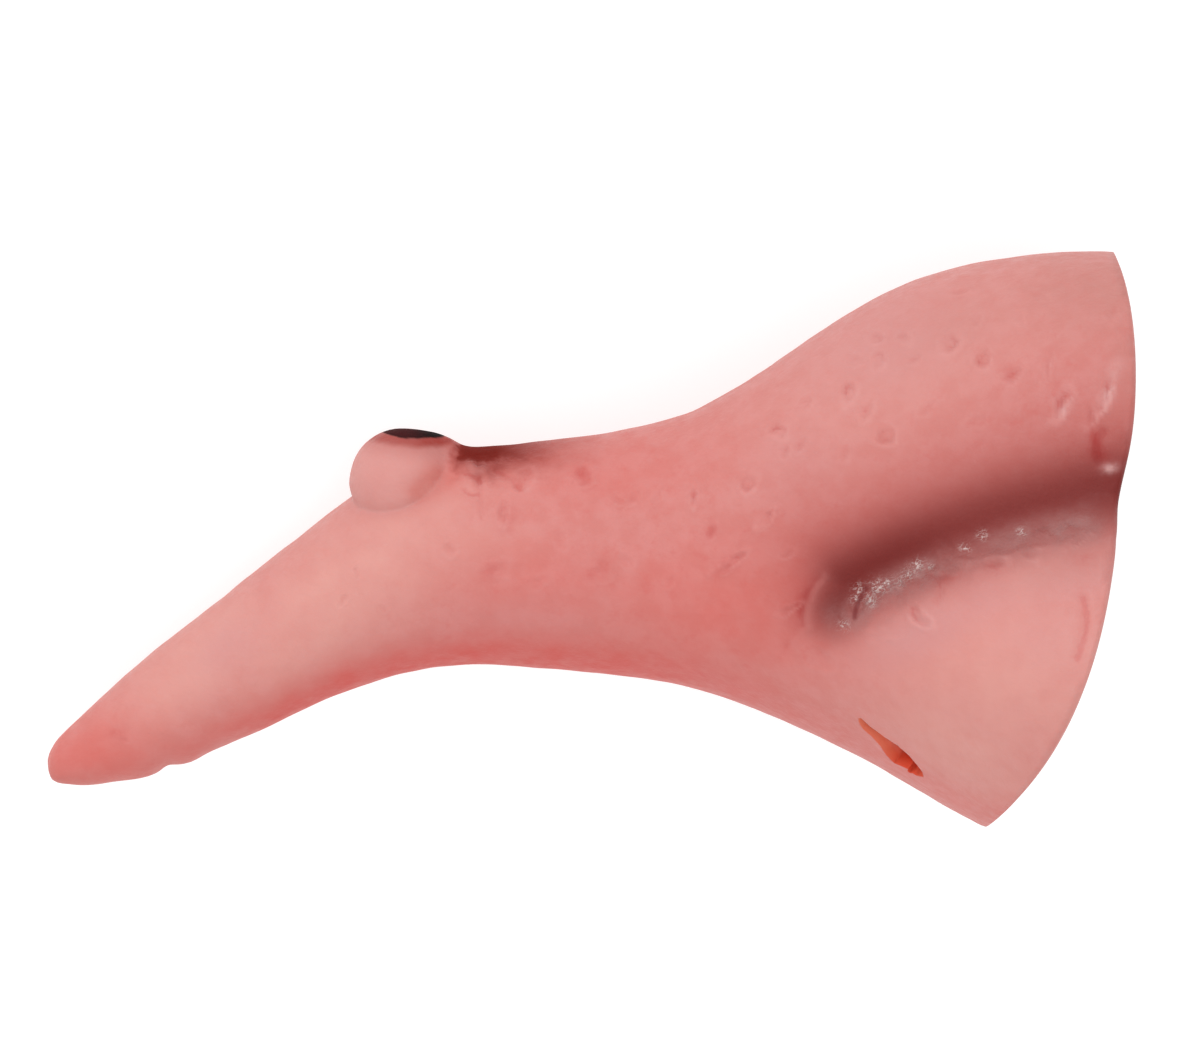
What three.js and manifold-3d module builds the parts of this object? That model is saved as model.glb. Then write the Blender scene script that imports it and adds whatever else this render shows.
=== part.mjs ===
// Witch nose: a long hooked false nose of cast latex, one hollow shell that is worn over the real nose.
// The nose has its own frame: +X from the tip back to the face, +Y up to the brow, +Z to the wearer's left.
// It is then laid on its right flank, the way it lies on a table. All sizes are in millimetres.
import * as THREE from "three";
import { LoftGeometry } from "three/addons/geometries/LoftGeometry.js";
import { ConvexHull } from "three/addons/math/ConvexHull.js";
import { mergeVertices } from "three/addons/utils/BufferGeometryUtils.js";
import Module from "manifold-3d";

// Driving dimensions of the shell
const WALL = 2.0; // latex wall
const CAVITY_END = 5.4; // rib number where the hollow ends: the tip in front of it is solid
const CAVITY_ROUND = 1.1; // ribs over which the hollow rounds off to its end
const CAVITY_DIMPLE = 0.05; // rise of latex in the middle of the hollow's end, in ribs
const CHEEK_REACH = 0.55; // how much more the rim reaches back below the middle of the cheeks than above it
const BROW_FLAT = 0.15; // share of the half width over which the rim is cut straight across the bridge

// Facets: the flare behind the tube has the finer steps
const RING_POINTS = 64;
const FLANK_CROWD = 0.2; // how much closer together the points are on the flanks than on the crest
const FLARE_START = 11; // rib number
const TUBE_STEPS = 22;
const FLARE_STEPS = 30;
const INNER_TUBE_STEPS = 9;
const INNER_FLARE_STEPS = 14;

// Ribs from the tip to the rim. Each one runs from the crest of the bridge to the keel underneath.
// half: half width. pear: how much narrower the bridge is than the underside.
// bow: how far the cheeks reach back of the straight line from crest to keel.
// round: 1 for an oval section, less for flatter flanks with a rounder corner at the crest.
const RIBS = [
  { crestX: 0.0, crestY: 2.5, keelX: 0.1, keelY: 1.2, half: 0.7, pear: 0, bow: 0, round: 1 },
  { crestX: 0.3, crestY: 3.4, keelX: 0.5, keelY: 0.4, half: 1.5, pear: 0, bow: 0, round: 1 },
  { crestX: 1.2, crestY: 4.8, keelX: 1.9, keelY: 0.0, half: 2.5, pear: 0, bow: 0, round: 1 },
  { crestX: 3.8, crestY: 7.3, keelX: 5.8, keelY: 0.1, half: 3.9, pear: 0, bow: 0, round: 1 },
  { crestX: 9.2, crestY: 12.2, keelX: 12.4, keelY: 1.9, half: 5.5, pear: 0, bow: 0, round: 1 },
  { crestX: 16.7, crestY: 18.1, keelX: 21.0, keelY: 5.3, half: 7.0, pear: 0, bow: 0, round: 1 },
  { crestX: 24.2, crestY: 24.1, keelX: 29.2, keelY: 9.0, half: 8.4, pear: 0, bow: 0, round: 1 },
  { crestX: 32.6, crestY: 30.1, keelX: 36.3, keelY: 11.2, half: 9.8, pear: 0, bow: 0, round: 1 },
  { crestX: 40.2, crestY: 33.2, keelX: 42.4, keelY: 11.9, half: 10.8, pear: 0, bow: 0, round: 1 },
  { crestX: 48.2, crestY: 34.1, keelX: 48.7, keelY: 11.6, half: 11.5, pear: 0.02, bow: 0, round: 0.99 },
  { crestX: 56.2, crestY: 35.2, keelX: 56.0, keelY: 11.0, half: 12.4, pear: 0.05, bow: 0, round: 0.97 },
  { crestX: 64.2, crestY: 37.3, keelX: 63.2, keelY: 9.9, half: 14.0, pear: 0.09, bow: 0, round: 0.95 },
  { crestX: 71.7, crestY: 41.4, keelX: 70.2, keelY: 7.7, half: 16.6, pear: 0.15, bow: 0.2, round: 0.92 },
  { crestX: 78.7, crestY: 46.2, keelX: 76.7, keelY: 4.9, half: 19.8, pear: 0.2, bow: 0.7, round: 0.88 },
  { crestX: 85.2, crestY: 49.8, keelX: 82.2, keelY: 2.1, half: 22.8, pear: 0.24, bow: 1.6, round: 0.85 },
  { crestX: 92.2, crestY: 52.0, keelX: 86.7, keelY: -0.5, half: 25.6, pear: 0.26, bow: 3, round: 0.8 },
  { crestX: 99.6, crestY: 53.1, keelX: 90.6, keelY: -2.7, half: 28.0, pear: 0.28, bow: 4.8, round: 0.76 },
  { crestX: 106.5, crestY: 53.3, keelX: 93.6, keelY: -4.2, half: 30.0, pear: 0.28, bow: 6.6, round: 0.72 },
];
const RIM = RIBS.length - 1;

// Fold above the nostril wing, as an arc seen from the side: steep below, soft towards the bridge
const FOLD = {
  front: new THREE.Vector2(79.2, 16.6),
  bend: new THREE.Vector2(85.5, 23.8),
  back: new THREE.Vector2(109, 28.9),
  depth: 3.0,
  softAbove: 4.6,
  softBelow: 2.6,
  fadeIn: 0.16,
  pull: 0.25, // how far the fold draws the skin forward, as a share of its depth
};

// Round swells of each flank: the nostril wing below the fold and the cheek above it
const SWELLS = [
  { x: 96, y: 9, reachX: 19, reachY: 14, height: 3 },
  { x: 106, y: 44, reachX: 20, reachY: 13, height: 3 },
];

// Wart on the left of the bridge: a large lobe in front and a small one behind it
const WART_LOBES = [
  { x: 35.4, y: 30.4, z: 3.6, radius: 5.2 },
  { x: 37.8, y: 31.5, z: 2.4, radius: 4.0 },
];

// Breathing slits under the wings, cut right through the wall between two places of the skin
const SLIT = {
  front: { rib: 13.58, angleDeg: 148 },
  back: { rib: 14.99, angleDeg: 162.7 },
  width: 2.2,
  cutDepth: 9,
};

const wasm = await Module();
wasm.setup();

// Lines through the ribs: crest, keel and the three columns that shape a section
const ribLine = (column) =>
  new THREE.CatmullRomCurve3(
    RIBS.map((rib) => new THREE.Vector3(...column(rib))),
    false,
    "catmullrom",
  );
const crestLine = ribLine((rib) => [rib.crestX, rib.crestY, 0]);
const keelLine = ribLine((rib) => [rib.keelX, rib.keelY, 0]);
const girthLine = ribLine((rib) => [rib.half, rib.pear, rib.bow]);
const roundLine = ribLine((rib) => [rib.round, 0, 0]);
const foldLine = new THREE.QuadraticBezierCurve(FOLD.front, FOLD.bend, FOLD.back).getPoints(40);

// Depth of the fold at a place seen from the side, positive inwards
function foldDepth(x, y) {
  const place = new THREE.Vector2(x, y);
  let nearest = 0;
  foldLine.forEach((point, i) => {
    if (point.distanceToSquared(place) < foldLine[nearest].distanceToSquared(place)) nearest = i;
  });
  const share = nearest / (foldLine.length - 1);
  const softness = y > foldLine[nearest].y ? FOLD.softAbove : FOLD.softBelow;
  const across = foldLine[nearest].distanceTo(place) / softness;
  return FOLD.depth * THREE.MathUtils.smoothstep(share, -0.1, FOLD.fadeIn) * Math.exp(-across * across);
}

// Height of the flank's swells at a place seen from the side
function swellHeight(x, y) {
  return SWELLS.reduce((sum, swell) => {
    const away = Math.hypot((x - swell.x) / swell.reachX, (y - swell.y) / swell.reachY);
    return away < 1 ? sum + swell.height * Math.cos((away * Math.PI) / 2) ** 2 : sum;
  }, 0);
}

// Point of the shell: rib number, angle round the rib from the crest, and how deep under the outer skin
function shellPoint(rib, angle, depth) {
  const crest = crestLine.getPoint(rib / RIM);
  const keel = keelLine.getPoint(rib / RIM);
  const girth = girthLine.getPoint(rib / RIM);
  const inward = crest.clone().sub(keel).setLength(depth);
  crest.sub(inward);
  keel.add(inward);
  const side = Math.sin(angle);
  const point = keel.lerp(crest, (1 + Math.cos(angle)) / 2);
  const flare = Math.max(0, (Math.abs(side) - BROW_FLAT) / (1 - BROW_FLAT));
  point.x += girth.z * flare * (1 + CHEEK_REACH * Math.max(0, -Math.cos(angle)));
  const half = Math.max(0, girth.x - depth) * (1 - girth.y * Math.cos(angle));
  const spread = Math.sign(side) * Math.abs(side) ** roundLine.getPoint(rib / RIM).x;
  const fold = foldDepth(point.x, point.y);
  point.z = spread * half + side * (swellHeight(point.x, point.y) - fold);
  point.x -= FOLD.pull * fold * Math.abs(side);
  return point;
}

// One closed ring of the shell
const ring = (rib, depth) =>
  Array.from({ length: RING_POINTS }, (_, i) => {
    const turn = (i / RING_POINTS) * 2 * Math.PI;
    return shellPoint(rib, turn + FLANK_CROWD * Math.sin(2 * turn), depth);
  });

// Wall depth along the hollow: it thickens to solid latex where the hollow rounds off
function hollowDepth(rib) {
  const closing = THREE.MathUtils.clamp((CAVITY_END + CAVITY_ROUND - rib) / CAVITY_ROUND, 0, 1);
  const halfHere = girthLine.getPoint(rib / RIM).x;
  const open = Math.sqrt(1 - closing * closing * 0.97);
  return halfHere - (halfHere - WALL) * open;
}

// Geometry of three.js as a solid for joins and cuts
function toSolid(geometry) {
  const bare = new THREE.BufferGeometry().copy(geometry);
  bare.deleteAttribute("normal");
  bare.deleteAttribute("uv");
  const welded = mergeVertices(bare, 1e-4);
  return new wasm.Manifold(
    new wasm.Mesh({
      numProp: 3,
      vertProperties: new Float32Array(welded.attributes.position.array),
      triVerts: new Uint32Array(welded.index.array),
    }),
  );
}

// Solid back as a geometry of three.js
function toGeometry(solid) {
  const { vertProperties, triVerts } = solid.getMesh();
  const geometry = new THREE.BufferGeometry();
  geometry.setAttribute("position", new THREE.BufferAttribute(new Float32Array(vertProperties), 3));
  geometry.setIndex(new THREE.BufferAttribute(new Uint32Array(triVerts), 1));
  return geometry;
}

// Even steps from one rib number to another
function steps(from, to, count) {
  return Array.from({ length: count }, (_, i) => from + ((to - from) * i) / count);
}

// Rings of the hollow from its end to the rim, moved out into the wall by some millimetres
const hollowRibs = [
  ...steps(CAVITY_END, FLARE_START, INNER_TUBE_STEPS),
  ...steps(FLARE_START, RIM, INNER_FLARE_STEPS),
  RIM,
];
const hollowRings = (outBy) => hollowRibs.map((rib) => ring(rib, hollowDepth(rib) - outBy));

// Shell: the outer skin from tip to rim, over the cut edge, and the hollow back to its end
function latexShell() {
  const skinRibs = [...steps(0, FLARE_START, TUBE_STEPS), ...steps(FLARE_START, RIM, FLARE_STEPS), RIM];
  const rings = skinRibs.map((rib) => ring(rib, 0)).concat(hollowRings(0).toReversed());
  rings.push(ring(CAVITY_END + CAVITY_DIMPLE, hollowDepth(CAVITY_END) + CAVITY_DIMPLE));
  return toSolid(new LoftGeometry(rings, { capStart: true, capEnd: true }));
}

// Wart: joined lobes that end inside the wall
function wart() {
  const lobes = WART_LOBES.map(({ x, y, z, radius }) =>
    toSolid(new THREE.SphereGeometry(radius, 18, 12).translate(x, y, z)),
  );
  const core = toSolid(new LoftGeometry(hollowRings(WALL / 2), { capStart: true, capEnd: true }));
  return lobes.reduce((joined, lobe) => joined.add(lobe)).subtract(core);
}

// Cutter for one breathing slit: a pointed oval pushed through the wall along its normal. side is 1 or -1.
function slitCutter(side) {
  const [front, back] = [SLIT.front, SLIT.back].map(({ rib, angleDeg }) =>
    shellPoint(rib, THREE.MathUtils.degToRad(angleDeg) * side, 0),
  );
  const middleRib = (SLIT.front.rib + SLIT.back.rib) / 2;
  const middleAngle = THREE.MathUtils.degToRad((SLIT.front.angleDeg + SLIT.back.angleDeg) / 2) * side;
  const centre = shellPoint(middleRib, middleAngle, 0);
  const around = shellPoint(middleRib, middleAngle + 0.02, 0).sub(centre);
  const along = back.clone().sub(front).normalize();
  const outward = new THREE.Vector3().crossVectors(around, along).normalize();
  const across = new THREE.Vector3().crossVectors(outward, along);
  const reach = front.distanceTo(back) / 2;
  const oval = new THREE.Shape();
  oval.moveTo(-reach, 0);
  oval.quadraticCurveTo(0, -SLIT.width, reach, 0);
  oval.quadraticCurveTo(0, SLIT.width, -reach, 0);
  const push = { depth: SLIT.cutDepth, bevelEnabled: false, curveSegments: 8 };
  const prism = new THREE.ExtrudeGeometry(oval, push);
  prism.translate(0, 0, -SLIT.cutDepth / 2);
  prism.applyMatrix4(new THREE.Matrix4().makeBasis(along, across, outward).setPosition(centre));
  return toSolid(prism);
}

// Centre of mass of a closed geometry
function massCentre(geometry) {
  const place = geometry.attributes.position;
  const corners = [0, 1, 2].map(() => new THREE.Vector3());
  const centre = new THREE.Vector3();
  let volume = 0;
  for (let i = 0; i < geometry.index.count; i += 3) {
    corners.forEach((corner, k) => corner.fromBufferAttribute(place, geometry.index.getX(i + k)));
    const [a, b, c] = corners;
    const share = a.dot(b.clone().cross(c)) / 6;
    volume += share;
    centre.addScaledVector(a.clone().add(b).add(c), share / 4);
  }
  return centre.divideScalar(volume);
}

// Lays a mesh on its right flank: the face of its hull that is under the centre of mass goes down
function layOnRightFlank(mesh) {
  const place = mesh.geometry.attributes.position;
  const pointAt = (_, i) => new THREE.Vector3().fromBufferAttribute(place, i);
  const points = Array.from({ length: place.count }, pointAt);
  const centre = massCentre(mesh.geometry);
  const down = new THREE.Vector3(0, 0, -1);
  const stable = new ConvexHull().setFromPoints(points).faces.filter((face) => {
    const corners = [0, 1, 2].map((i) => face.getEdge(i).head().point);
    return face.normal.dot(down) > 0.7 && new THREE.Triangle(...corners).containsPoint(centre);
  });
  const under = stable.sort((a, b) => b.normal.dot(down) - a.normal.dot(down))[0];
  mesh.quaternion.setFromUnitVectors(under.normal, down);
}

const latex = new THREE.MeshStandardMaterial({ color: 0xdc948c, roughness: 0.55, metalness: 0 });
latex.name = "latex";
const solid = latexShell()
  .add(wart())
  .subtract(slitCutter(1))
  .subtract(slitCutter(-1));
const nose = new THREE.Mesh(toGeometry(solid), latex);
nose.name = "nose_shell";
layOnRightFlank(nose);

// The origin is on the table, under the middle of the part
const witchNose = new THREE.Group();
witchNose.add(nose);
const box = new THREE.Box3().setFromObject(nose, true);
const middle = box.getCenter(new THREE.Vector3());
nose.position.set(-middle.x, -middle.y, -box.min.z);

export default witchNose;
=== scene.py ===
import math

import bmesh
import bpy
import numpy as np
from mathutils import Matrix, Vector, noise


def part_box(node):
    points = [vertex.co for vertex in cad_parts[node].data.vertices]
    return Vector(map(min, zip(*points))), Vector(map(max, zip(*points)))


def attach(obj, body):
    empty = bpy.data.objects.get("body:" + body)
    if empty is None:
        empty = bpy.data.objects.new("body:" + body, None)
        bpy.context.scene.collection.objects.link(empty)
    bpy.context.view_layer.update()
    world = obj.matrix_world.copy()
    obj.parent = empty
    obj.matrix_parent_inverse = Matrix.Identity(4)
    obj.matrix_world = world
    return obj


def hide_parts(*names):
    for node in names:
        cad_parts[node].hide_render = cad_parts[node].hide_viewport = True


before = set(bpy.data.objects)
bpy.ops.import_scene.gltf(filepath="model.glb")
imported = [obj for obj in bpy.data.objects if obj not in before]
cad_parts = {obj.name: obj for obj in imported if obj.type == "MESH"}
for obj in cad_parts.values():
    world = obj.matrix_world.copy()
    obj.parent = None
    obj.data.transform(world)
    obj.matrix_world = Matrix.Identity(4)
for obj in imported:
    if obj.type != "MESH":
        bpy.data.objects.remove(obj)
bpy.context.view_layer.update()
print("frame loaded")

# The nose is shaped in its own frame, in millimetres: +X from the tip back to the face, +Y up to the brow,
# +Z to the wearer's left. It then lies down on its right flank, as the solid does.
mm = 0.001

# Ribs from the tip to the rim, each from the crest of the bridge to the keel underneath
ribColumns = ("crestX", "crestY", "keelX", "keelY", "half", "pear", "bow", "round")
noseRibs = [
    (0.0, 2.5, 0.1, 1.2, 0.7, 0.0, 0.0, 1.0),
    (0.3, 3.4, 0.5, 0.4, 1.5, 0.0, 0.0, 1.0),
    (1.2, 4.8, 1.9, 0.0, 2.5, 0.0, 0.0, 1.0),
    (3.8, 7.3, 5.8, 0.1, 3.9, 0.0, 0.0, 1.0),
    (9.2, 12.2, 12.4, 1.9, 5.5, 0.0, 0.0, 1.0),
    (16.7, 18.1, 21.0, 5.3, 7.0, 0.0, 0.0, 1.0),
    (24.2, 24.1, 29.2, 9.0, 8.4, 0.0, 0.0, 1.0),
    (32.6, 30.1, 36.3, 11.2, 9.8, 0.0, 0.0, 1.0),
    (40.2, 33.2, 42.4, 11.9, 10.8, 0.0, 0.0, 1.0),
    (48.2, 34.1, 48.7, 11.6, 11.5, 0.02, 0.0, 0.99),
    (56.2, 35.2, 56.0, 11.0, 12.4, 0.05, 0.0, 0.97),
    (64.2, 37.3, 63.2, 9.9, 14.0, 0.09, 0.0, 0.95),
    (71.7, 41.4, 70.2, 7.7, 16.6, 0.15, 0.2, 0.92),
    (78.7, 46.2, 76.7, 4.9, 19.8, 0.2, 0.6, 0.88),
    (85.2, 49.8, 82.2, 2.1, 22.8, 0.24, 1.4, 0.85),
    (92.2, 52.0, 86.7, -0.5, 25.6, 0.26, 2.6, 0.8),
    (99.6, 53.1, 90.6, -2.7, 28.0, 0.28, 4.1, 0.76),
    (106.5, 53.3, 93.7, -4.35, 30.0, 0.28, 5.95, 0.72),
]
shellForm = {
    "wall": 2.0,
    "hollowEnd": 5.4,  # rib where the hollow ends
    "hollowRound": 1.1,  # ribs over which it rounds off
    "hollowBlunt": 0.97,  # 1 would close it to a point
    "cheekReach": 0.55,
    "cornerSoft": 0.6,  # how gently the rim leaves the middle at brow and lip
    "edgeRound": 0.35,  # crown of the cut edge
    "edgePower": 2.5,
    "edgeParts": (0.3, 0.45, 0.65, 0.82, 0.94),  # stops over the cut edge, as shares of the wall
    "rimRound": 0.15,  # how far the skin turns in before the cut edge
    "rimReach": 0.6,
    "reliefFade": (-0.5, 2.0),  # stops before the rim over which the marks fade
    "bareFrom": 3,  # stops past the skin where the bare latex begins
    "tipRound": 0.06,
    "tipCrowd": 4.0,  # more stops round the tip
    "tipLength": 4.0,
    "tipGather": (0.0, 0.35, 0.7),  # rings that close the tip
    "endGather": (0.5, 0.0),  # rings that close the hollow
    "around": 176,
    "sideCrowd": 0.12,  # more columns on the flanks
    "along": 160,
    "alongHollow": 30,
    "detailCuts": 2,
    "weld": 1e-4,
}
wingFold = {
    "front": (77.9, 15.0),
    "bend": (85.2, 23.6),
    "back": (109.0, 28.9),
    "depth": 3.0,
    "softAbove": 4.6,
    "softBelow": 2.6,
    "softEnd": 3.0,
    "fadeIn": 0.22,
    "pull": 0.18,
}
flankSwells = [  # x, y, reachX, reachY, height: the nostril wing, then the cheek above the fold
    (96.0, 9.0, 19.0, 14.0, 3.0),
    (106.0, 44.0, 20.0, 13.0, 3.0),
]
restPose = {"axisDeg": 218.97, "turnDeg": 24.52}  # level axis that the nose is turned about to lie down

ribTable = np.array(noseRibs)
ribColumn = dict(zip(ribColumns, ribTable.T))
lastRib = len(noseRibs) - 1


def smoothStep(value, low, high):
    share = np.clip((value - low) / (high - low), 0, 1)
    return share * share * (3 - 2 * share)


def bell(value):
    return np.exp(-value * value)


def ribAt(rib):
    # smooth run through the ribs, end ribs carried on straight
    rib = np.clip(rib, 0, lastRib)
    step = np.minimum(rib.astype(int), lastRib - 1)
    part = (rib - step)[..., None]
    ends = np.vstack([2 * ribTable[0] - ribTable[1], ribTable, 2 * ribTable[-1] - ribTable[-2]])
    before, here, after, beyond = ends[step], ends[step + 1], ends[step + 2], ends[step + 3]
    bent = 2 * before - 5 * here + 4 * after - beyond
    cubic = 3 * here - 3 * after + beyond - before
    row = 0.5 * (2 * here + (after - before) * part + bent * part**2 + cubic * part**3)
    return {name: row[..., i] for i, name in enumerate(ribColumns)}


arcSteps = {"fold": 41, "paint": 31, "mark": 13, "net": 9}  # points along each kind of arc


def arcPoints(front, bend, back, kind="mark"):
    share = np.linspace(0, 1, arcSteps[kind])[:, None]
    line = (1 - share) ** 2 * np.array(front) + 2 * share * (1 - share) * np.array(bend)
    return line + share**2 * np.array(back)


def alongArc(x, y, line):
    # nearest place on an arc seen from the side: share of its length, how far ahead of its ends,
    # how far above it
    best = np.full(x.shape, np.inf)
    share, ahead, above = np.zeros(x.shape), np.zeros(x.shape), np.zeros(x.shape)
    steps = len(line) - 1
    for i in range(steps):
        start, run = line[i], line[i + 1] - line[i]
        length = math.hypot(*run)
        part = np.clip(((x - start[0]) * run[0] + (y - start[1]) * run[1]) / length**2, 0, 1)
        offX, offY = x - start[0] - part * run[0], y - start[1] - part * run[1]
        away = np.hypot(offX, offY)
        nearer = away < best
        best = np.where(nearer, away, best)
        share = np.where(nearer, (i + part) / steps, share)
        ahead = np.where(nearer, (run[0] * offX + run[1] * offY) / length, ahead)
        above = np.where(nearer, (run[0] * offY - run[1] * offX) / length, above)
    return share, ahead, above


def softBand(ahead, above, up, down=None, end=None):
    # fades over its own reach above, below and past the ends
    return bell(np.hypot(above / np.where(above > 0, up, down or up), ahead / (end or up)))


def arcBand(x, y, line, *reach):
    _, ahead, above = alongArc(x, y, line)
    return softBand(ahead, above, *reach)


def spot(x, y, placeX, placeY, reach):
    return bell(np.hypot(x - placeX, y - placeY) / reach)


def farFrom(points, place):
    return np.linalg.norm(points - np.array(place), axis=1)


foldLine = arcPoints(wingFold["front"], wingFold["bend"], wingFold["back"], "fold")


def foldDepth(x, y):
    share, ahead, above = alongArc(x, y, foldLine)
    band = softBand(ahead, above, wingFold["softAbove"], wingFold["softBelow"], wingFold["softEnd"])
    return wingFold["depth"] * smoothStep(share, 0, wingFold["fadeIn"]) * band


def swellHeight(x, y):
    height = np.zeros(x.shape)
    for placeX, placeY, reachX, reachY, swell in flankSwells:
        away = np.minimum(np.hypot((x - placeX) / reachX, (y - placeY) / reachY), 1)
        height += swell * np.cos(away * math.pi / 2) ** 2
    return height


def shellPoint(rib, angle, depth):
    row = ribAt(rib)
    length = np.hypot(row["crestX"] - row["keelX"], row["crestY"] - row["keelY"])
    inX = (row["crestX"] - row["keelX"]) / length * depth
    inY = (row["crestY"] - row["keelY"]) / length * depth
    side = np.sin(angle)
    up = (1 + np.cos(angle)) / 2
    x = (row["keelX"] + inX) * (1 - up) + (row["crestX"] - inX) * up
    y = (row["keelY"] + inY) * (1 - up) + (row["crestY"] - inY) * up
    soft = shellForm["cornerSoft"]
    flare = (np.hypot(side, soft) - soft) / (math.hypot(1, soft) - soft)
    x = x + row["bow"] * flare * (1 + shellForm["cheekReach"] * np.maximum(0, -np.cos(angle)))
    half = np.maximum(0, row["half"] - depth) * (1 - row["pear"] * np.cos(angle))
    spread = np.sign(side) * np.abs(side) ** row["round"]
    fold = foldDepth(x, y)
    z = spread * half + side * (swellHeight(x, y) - fold)
    return np.stack([x - wingFold["pull"] * fold * np.abs(side), y, z], -1)


def hollowDepth(rib):
    end, rounding = shellForm["hollowEnd"], shellForm["hollowRound"]
    closing = np.clip((end + rounding - rib) / rounding, 0, 1)
    half = ribAt(rib)["half"]
    return half - (half - shellForm["wall"]) * np.sqrt(1 - closing**2 * shellForm["hollowBlunt"])


# Stops along the sheet of latex: round the tip, back along the skin, over the cut edge, into the hollow
def sheetStops():
    samples = 600
    fine = np.linspace(0, lastRib, samples)
    rows = ribAt(fine)
    midX, midY = (rows["crestX"] + rows["keelX"]) / 2, (rows["crestY"] + rows["keelY"]) / 2
    step = np.hypot(np.diff(midX), np.diff(midY))
    toRim = np.interp(fine, fine[1:], np.cumsum(step[::-1])[::-1])
    crowd = 1 + shellForm["tipCrowd"] * bell(midX[1:] / shellForm["tipLength"])
    run = np.concatenate([[0], np.cumsum(step * crowd)])
    skinRibs = np.interp(np.linspace(0, run[-1], shellForm["along"]), run, fine)
    turnIn = np.clip(1 - np.interp(skinRibs, fine, toRim) / shellForm["rimReach"], 0, 1)
    skinDepths = shellForm["rimRound"] * turnIn**2
    hollowRibs = np.linspace(lastRib, shellForm["hollowEnd"], shellForm["alongHollow"])
    hollowDepths = hollowDepth(hollowRibs)
    stops = [(0.0, 0.0, gather, 0.0) for gather in shellForm["tipGather"]]  # rib, depth, gather, edge
    stops += [(rib, depth, 1.0, 0.0) for rib, depth in zip(skinRibs, skinDepths)]
    stops += [(lastRib, shellForm["wall"] * part, 1.0, 1.0) for part in shellForm["edgeParts"]]
    stops += [(rib, depth, 1.0, 0.0) for rib, depth in zip(hollowRibs, hollowDepths)]
    stops += [(hollowRibs[-1], hollowDepths[-1], gather, 0.0) for gather in shellForm["endGather"]]
    return np.array(stops)


stops = sheetStops()
stopNumbers = np.arange(len(stops))
tipStops = len(shellForm["tipGather"])
skinEnd = tipStops + shellForm["along"] - 1  # last stop of the outer skin


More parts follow.
